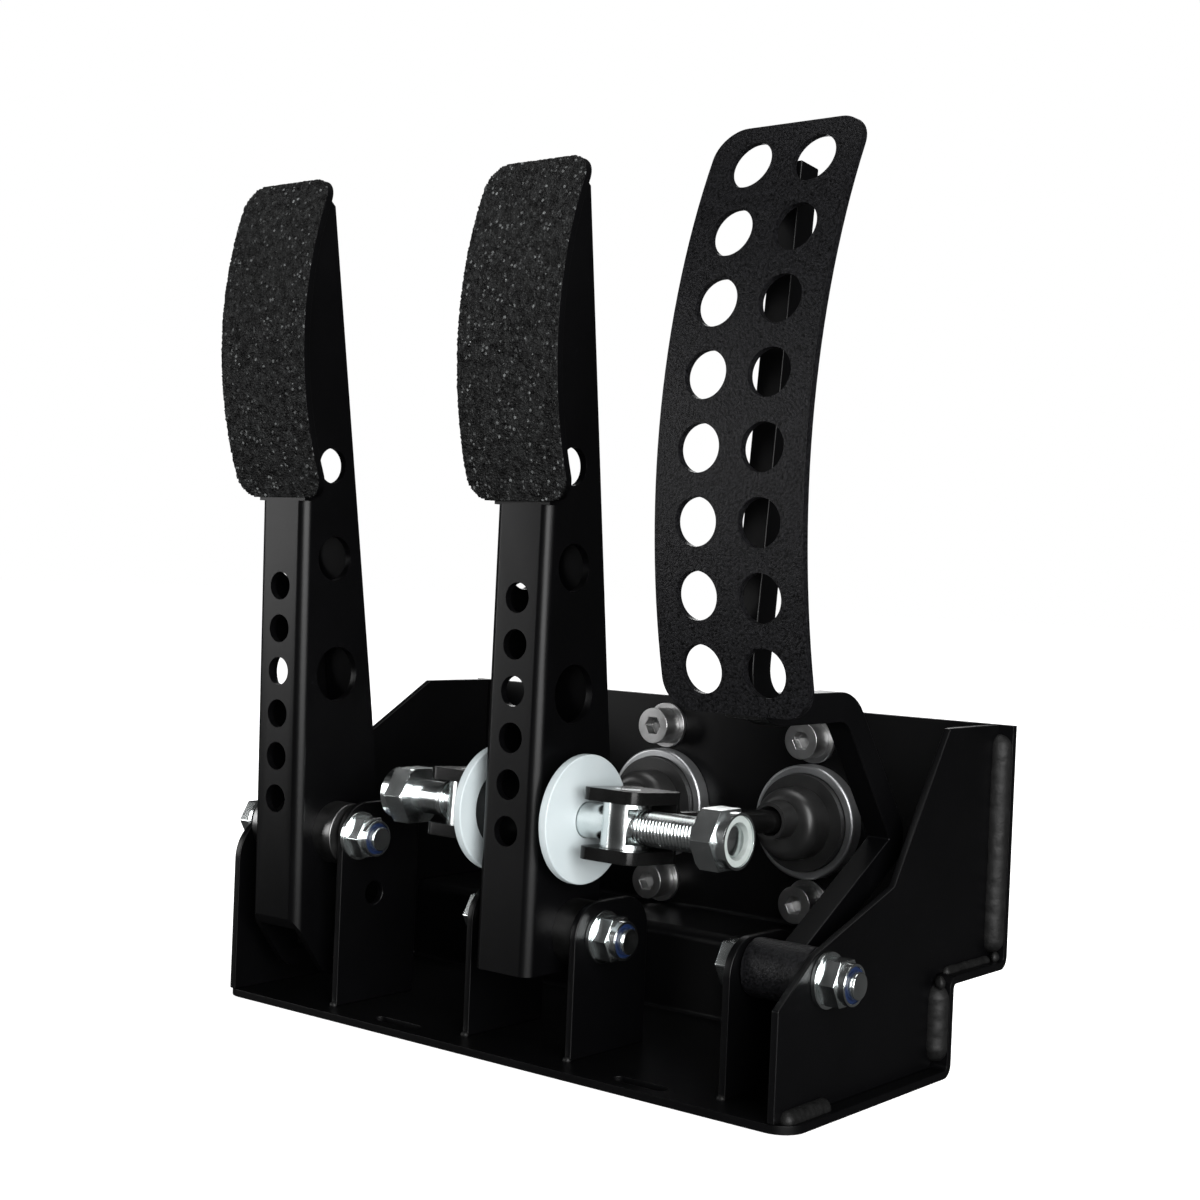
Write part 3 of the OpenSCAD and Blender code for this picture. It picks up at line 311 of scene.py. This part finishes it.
# Pieces that look different from their slot's other pieces
OWN_LOOKS = {
    "throttle_pad": THROTTLE_COAT,
    "throttle_pivot_tube": THROTTLE_COAT,
    "clutch_arm_back": SHADED_COAT,
    "brake_arm_back": SHADED_COAT,
    "balance_nut_inserts": grey_nylon(),
    "cylinder_screws": SCREW_STEEL,
    "cylinder_washers": SCREW_STEEL,
    "brake_pivot_sleeve": SHADED_SLEEVE_STEEL,
    "clutch_pivot_sleeve": SHADED_SLEEVE_STEEL,
}

# Fasteners get a finer edge rounding than sheet and castings
SMALL_EDGES = (
    "pivot_", "balance_", "cylinder_screws", "cylinder_washers", "cylinder_nuts", "clevis", "trunnion",
)
FINE_ROUNDING, ROUNDING = 0.22, 0.45
# Facets that meet at less than the first angle are one face. An edge over the second is drawn sharp, and one
# over the third is rounded.
ONE_FACE, SHARP, ROUNDED = math.radians(0.2), math.radians(28), math.radians(38)


def clean_shading():
    """Node group that joins a solid's facets and keeps only true edges sharp."""
    tree = bpy.data.node_groups.new("clean_shading", "GeometryNodeTree")
    tree.interface.new_socket("Geometry", in_out="INPUT", socket_type="NodeSocketGeometry")
    tree.interface.new_socket("Geometry", in_out="OUTPUT", socket_type="NodeSocketGeometry")
    g = Graph(tree)
    solid = g.node("NodeGroupInput", {}, {})
    joined = g.node("GeometryNodeMergeByDistance", {}, {"Geometry": solid, "Distance": 0.004 * MM})
    plain = g.node("GeometryNodeRemoveAttribute", {}, {"Geometry": joined, "Name": "custom_normal"})
    smooth = g.node("GeometryNodeSetShadeSmooth", {}, {"Geometry": plain})
    angle = g.node("GeometryNodeInputMeshEdgeAngle", {}, {}, "Unsigned Angle")
    sharp = g.node("FunctionNodeCompare", {"operation": "GREATER_THAN"}, {0: angle, 1: SHARP})
    sockets = {"Geometry": smooth, "Selection": sharp, "Shade Smooth": False}
    creased = g.node("GeometryNodeSetShadeSmooth", {"domain": "EDGE"}, sockets)
    g.node("NodeGroupOutput", {}, {0: creased})
    return tree


CLEAN = clean_shading()


def dress(name, slot):
    """Gives a solid its material and a fine rounding on its edges."""
    thing = NODES[name]
    look = OWN_LOOKS.get(name) or MATERIALS[slot]
    if not thing.material_slots:
        thing.data.materials.append(look)
    for holder in thing.material_slots:
        holder.material = look
    thing.modifiers.new("clean", "NODES").node_group = CLEAN
    flat = thing.modifiers.new("flat", "DECIMATE")
    flat.decimate_type = "DISSOLVE"
    flat.angle_limit = ONE_FACE
    bevel = thing.modifiers.new("edge", "BEVEL")
    bevel.width = (FINE_ROUNDING if name.startswith(SMALL_EDGES) else ROUNDING) * MM
    bevel.segments = 2
    bevel.limit_method = "ANGLE"
    bevel.angle_limit = ROUNDED
    even = thing.modifiers.new("even", "WEIGHTED_NORMAL")
    even.keep_sharp = False


for part in frame["record"]["subparts"]:
    dress(part["node"], part["material_slot"])


def new_piece(name, points, faces, body, slot, look=None, smooth=True):
    """A mesh piece, given in millimetres, that rides on a body."""
    mesh = bpy.data.meshes.new(name)
    mesh.from_pydata([Vector(p) * MM for p in points], [], faces)
    mesh.update()
    mesh.polygons.foreach_set("use_smooth", [smooth] * len(mesh.polygons))
    mesh.materials.append(look or MATERIALS[slot])
    piece = bpy.data.objects.new(name, mesh)
    bpy.context.scene.collection.objects.link(piece)
    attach(piece, body)
    return piece


def ring_faces(rings, around):
    """Faces of a tube made of closed rings, with both ends shut."""
    faces = []
    for i in range(rings - 1):
        for j in range(around):
            k = (j + 1) % around
            faces.append((i * around + j, i * around + k, (i + 1) * around + k, (i + 1) * around + j))
    faces.append(tuple(range(around - 1, -1, -1)))
    faces.append(tuple(range((rings - 1) * around, rings * around)))
    return faces


NO_LOW, NO_HIGH = (-999.0,) * 3, (999.0,) * 3


def weld(name, route, radius, body, seed=0.0, pitch=2.3, lump=0.16, low=NO_LOW, high=NO_HIGH):
    """A coated weld bead: overlapping scallops along a route, held between two corners."""
    step, around = 0.45, 14
    route = [Vector(p) for p in route]
    spots = []
    run = 0.0
    for a, b in zip(route, route[1:]):
        count = max(2, round((b - a).length / step))
        for i in range(count):
            spots.append((a.lerp(b, i / count), (b - a).normalized(), run + (b - a).length * i / count))
        run += (b - a).length
    spots.append((route[-1], (route[-1] - route[-2]).normalized(), run))
    points = []
    for place, heading, s in spots:
        side = heading.orthogonal().normalized()
        over = heading.cross(side)
        end = min(s, run - s) / radius
        cap = math.sqrt(max(0.02, 1 - (1 - min(1.0, end)) ** 2))
        scallop = 1 + 0.3 * lump * abs(math.sin(math.pi * s / pitch + seed))
        for j in range(around):
            turn = 2 * math.pi * j / around
            rough = 1 + lump * noise.noise(place * 0.33 + Vector((seed, turn, 0)))
            spot = place + (side * math.cos(turn) + over * math.sin(turn)) * radius * cap * scallop * rough
            points.append([min(max(v, a), b) for v, a, b in zip(spot, low, high)])
    return new_piece(name, points, ring_faces(len(spots), around), body, "black_coat", WELD_COAT)


def make_welds():
    """Beads where the plates meet the folded sheet, and tacks at the brackets' feet."""
    front = corners("base_sheet")[0].y
    edge, back, top = corners("base_sheet")[1]
    wall = back - SHEET
    x = corners("right_side_plate")[1].x
    weld("weld_plate_foot",
         [(x + 0.6, front + 3.0, SHEET + 0.5), (x + 0.6, front + 26.5, SHEET + 0.5)],
         2.8, "frame", 0.3, lump=0.10, low=(x - 1.5, front + 0.5, 0.5))
    weld("weld_lower_wall",
         [(x + 0.2, LOWER_WALL, SHEET + 2.1), (x + 0.2, LOWER_WALL, STEP_TOP - 2.5)],
         4.7, "frame", 1.1, pitch=5.0, lump=0.05,
         low=(x - 2.0, 0.0, SHEET + 0.5), high=(edge - 0.2, LOWER_WALL + 1.5, STEP_TOP - 0.5))
    weld("weld_lower_wall_cap",
         [(x + 1.0, LOWER_WALL - 2.9, STEP_TOP - 2.1), (x + 3.6, LOWER_WALL - 0.7, STEP_TOP - 1.7)],
         2.2, "frame", 2.0)
    weld("weld_step",
         [(x + 0.4, LOWER_WALL + 4.0, STEP_TOP + 0.1), (x + 0.4, wall - 2.5, STEP_TOP + 0.1)],
         1.7, "frame", 2.6, pitch=4.0)
    weld("weld_step_corner",
         [(x + 0.8, wall - 0.9, STEP_TOP + 1.1), (x + 3.6, wall - 0.3, STEP_TOP + 1.3)],
         2.2, "frame", 0.8)
    weld("weld_upper_wall",
         [(x + 0.2, wall + 0.1, STEP_TOP + 2.5), (x + 0.2, wall + 0.1, top - 3.0)],
         4.7, "frame", 1.9, pitch=9.0, lump=0.05,
         low=(x - 2.0, 40.0, STEP_TOP + 0.5), high=(edge - 0.2, wall + 1.5, top - 0.1))

    x = corners("left_side_plate")[0].x
    weld("weld_plate_foot_left",
         [(x - 0.5, front + 4.0, SHEET + 0.5), (x - 0.5, front + 30.0, SHEET + 0.5)],
         2.4, "frame", 3.1, low=(x - 3.3, front + 0.5, 0.5))
    weld("weld_lower_wall_left",
         [(x - 0.9, LOWER_WALL + 0.1, SHEET + 2.5), (x - 0.9, LOWER_WALL + 0.1, STEP_TOP - 2.5)],
         2.2, "frame", 0.6)
    weld("weld_step_left",
         [(x - 0.5, LOWER_WALL + 4.0, STEP_TOP + 0.5), (x - 0.5, wall - 1.5, STEP_TOP + 0.5)],
         2.0, "frame", 1.4)

    brackets = ("clutch_bracket", "brake_bracket_left", "brake_bracket_right", "throttle_bracket")
    for seed, bracket in enumerate(brackets):
        x, y, _ = corners(bracket)[0]
        name = bracket.replace("_bracket", "")
        weld("weld_front_" + name,
             [(x - 0.2, y - 0.1, SHEET + 0.3), (x + SHEET + 0.2, y - 0.1, SHEET + 0.3)],
             1.1, "frame", seed)
        weld("weld_side_" + name,
             [(x - 0.3, y + 5.0, SHEET + 0.4), (x - 0.3, y + 21.0, SHEET + 0.4)],
             1.6, "frame", seed + 0.5)

    arm_low, arm_high = corners("throttle_arm")
    foot = corners("throttle_pad")[0].z + 0.4
    behind = arm_low.y + 2.4
    weld("weld_throttle_pad",
         [(arm_low.x - 2.25, behind, foot), (arm_high.x + 2.25, behind, foot)],
         1.6, "throttle_pedal", 0.9)


def make_grip(name, node, crest, body):
    """Grit-coated face: a sheet of small facets with a ragged edge, on the pad's curve.

    crest is the height at which the pad's curve comes furthest forward.
    """
    pad_r, corner, thick, cell = 132.0, 8.0, 1.0, 0.5
    (left, face, low), (right, _, top) = corners(node)
    width, height, inner = right - left, top - low, pad_r + 0.05
    middle, centre = (left + right) / 2, face + thick + inner
    columns, rows = round(width / cell), round(height / cell)

    def kept(i, j):
        across = abs((i + 0.5) * cell - width / 2) - (width / 2 - corner)
        along = abs((j + 0.5) * cell - height / 2) - (height / 2 - corner)
        return math.hypot(max(across, 0.0), max(along, 0.0)) <= corner + 0.05

    inside = {(i, j) for i in range(columns) for j in range(rows) if kept(i, j)}
    index, points, faces = {}, [], []

    def corner_point(i, j, raised):
        key = (i, j, raised)
        if key not in index:
            spot = Vector((i * 1.7 + middle, j * 1.7, 3.1))
            grain = 0.55 * noise.noise(spot * 0.9) + 0.45 * noise.noise(spot * 2.3)
            px = left + i * cell + 0.16 * noise.noise(spot * 1.9 + Vector((7.0, 0, 0)))
            pz = low + j * cell + 0.16 * noise.noise(spot * 1.9 + Vector((0, 9.0, 0)))
            r = inner + (thick - 0.15 + 0.75 * grain if raised else 0.0)
            points.append((px, centre - math.sqrt(r * r - (pz - crest) ** 2), pz))
            index[key] = len(points) - 1
        return index[key]

    for i, j in sorted(inside):
        loop = [(i, j), (i + 1, j), (i + 1, j + 1), (i, j + 1)]
        front = [corner_point(*c, True) for c in loop]
        faces.append(tuple(front))
        faces.append(tuple(corner_point(*c, False) for c in reversed(loop)))
        beside = ((i, j - 1), (i + 1, j), (i, j + 1), (i - 1, j))
        for k, neighbour in enumerate(beside):
            if neighbour not in inside:
                a, b = loop[k], loop[(k + 1) % 4]
                rim = ((a, False), (b, False), (b, True), (a, True))
                faces.append(tuple(corner_point(*spot, raised) for spot, raised in rim))
    piece = new_piece(name, points, faces, body, "grit", smooth=False)
    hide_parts(node)


def make_balance_bar():
    """The balance bar with its rolled threads, chamfered ends and middle ball."""
    low, high = corners("balance_bar")
    left, right = low.x, high.x
    _, y, z = (low + high) / 2
    radius, ball = 5.5, (high.z - low.z) / 2
    right_thread, left_thread = 39.5, -52.0
    pitch, depth, around = 1.25, 0.42, 40
    stations = [left + 0.2 * i for i in range(round((right - left) / 0.2) + 1)]
    points = []
    for x in stations:
        past = x - right_thread if x > 0 else left_thread - x
        cut = min(1.0, max(0.0, past / 1.5))
        end = min(x - left, right - x)
        for j in range(around):
            turn = 2 * math.pi * j / around
            wave = abs(((x / pitch - turn / (2 * math.pi)) % 1.0) * 2 - 1)
            r = radius - 0.02 - cut * depth * min(1.0, max(0.0, wave * 1.5 - 0.25))
            r = min(r, radius - 1.1 + end)
            if abs(x) < 5.0:
                r = max(r, math.sqrt(ball * ball - x * x))
            points.append((x, y + r * math.cos(turn), z + r * math.sin(turn)))
    faces = ring_faces(len(stations), around)
    piece = new_piece("balance_bar_thread", points, faces, "bias_bar", "zinc_steel")
    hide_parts("balance_bar")


make_welds()
make_grip("brake_grit", "brake_grip", 222.5, "brake_pedal")
make_grip("clutch_grit", "clutch_grip", 228.5, "clutch_pedal")
make_balance_bar()


def make_camera():
    """The photograph's camera, fitted to the object."""
    focus = Vector((-0.62102, 0.78368, -0.01318)).normalized()
    level = focus.cross(Vector((0, 0, 1))).normalized()
    over = level.cross(focus)
    roll = math.radians(2.363)
    right = level * math.cos(roll) + over * math.sin(roll)
    up = over * math.cos(roll) - level * math.sin(roll)
    data = bpy.data.cameras.new("camera")
    data.sensor_width = 36.0
    data.lens = 56.469
    data.clip_start = 0.01
    data.clip_end = 100.0
    cam = bpy.data.objects.new("camera", data)
    turn = Matrix((right, up, -focus)).transposed().to_4x4()
    cam.matrix_world = Matrix.Translation(Vector((382.36, -507.76, 152.02)) * MM) @ turn
    bpy.context.scene.collection.objects.link(cam)
    bpy.context.scene.camera = cam


def softbox(name, place, aim, size, power):
    data = bpy.data.lights.new(name, "AREA")
    data.shape = "RECTANGLE"
    data.size, data.size_y = size
    data.energy = power
    lamp = bpy.data.objects.new(name, data)
    lamp.location = place
    lamp.rotation_euler = (Vector(aim) - Vector(place)).to_track_quat("-Z", "Y").to_euler()
    bpy.context.scene.collection.objects.link(lamp)


def floor_look():
    """Pale floor: white to the camera where unshaded, dim in reflections."""
    p = Paint("floor")
    p.set(base_color=(0.9, 0.9, 0.9, 1.0), roughness=0.9, specular_ior_level=0.0)
    p.set(emission_color=(1.0, 1.0, 1.0, 1.0), emission_strength=0.72)
    dim, plain = (
        p.node("ShaderNodeBsdfDiffuse", {}, {"Color": (tone, tone, tone, 1.0)}) for tone in (0.04, 0.85)
    )
    bounced = p.by_ray("Is Glossy Ray", plain, dim)
    seen = p.by_ray("Is Camera Ray", bounced, Socket(p, p.shader.outputs[0]))
    p.feed(p.tree.nodes["Material Output"].inputs["Surface"], seen)
    return p.mat


def studio_world():
    """White to the camera, dim in reflections, soft fill elsewhere."""
    world = bpy.data.worlds.new("studio")
    bpy.context.scene.world = world
    world.use_nodes = True
    world.node_tree.nodes.clear()
    g = Graph(world.node_tree)
    fill, dim, white = (
        g.node("ShaderNodeBackground", {}, {"Color": (1.0, 1.0, 1.0, 1.0), "Strength": strength})
        for strength in (0.38, 0.04, 1.0)
    )
    seen = g.by_ray("Is Camera Ray", g.by_ray("Is Glossy Ray", fill, dim), white)
    g.node("ShaderNodeOutputWorld", {}, {"Surface": seen})


def make_stage():
    r = 8.0
    mesh = bpy.data.meshes.new("floor")
    mesh.from_pydata([(-r, -r, 0), (r, -r, 0), (r, r, 0), (-r, r, 0)], [], [(0, 1, 2, 3)])
    floor = bpy.data.objects.new("floor", mesh)
    floor.location.z = -0.0004
    bpy.context.scene.collection.objects.link(floor)
    mesh.materials.append(floor_look())
    studio_world()
    softbox("key", (1.1, -0.75, 0.95), (0.0, 0.0, 0.12), (0.6, 0.6), 12)
    softbox("edge", (1.15, -0.72, 0.22), (0.0, 0.0, 0.14), (1.2, 0.8), 38)
    softbox("front", (-1.45, -1.15, 0.3), (0.0, -0.05, 0.15), (0.45, 1.2), 14)
    softbox("top", (0.0, 0.1, 1.6), (0.0, 0.0, 0.1), (1.0, 1.0), 9)
    softbox("rim", (-0.9, 1.3, 0.6), (0.0, 0.0, 0.12), (0.6, 0.6), 4)
    bpy.context.scene.view_settings.view_transform = "Standard"


make_camera()
make_stage()
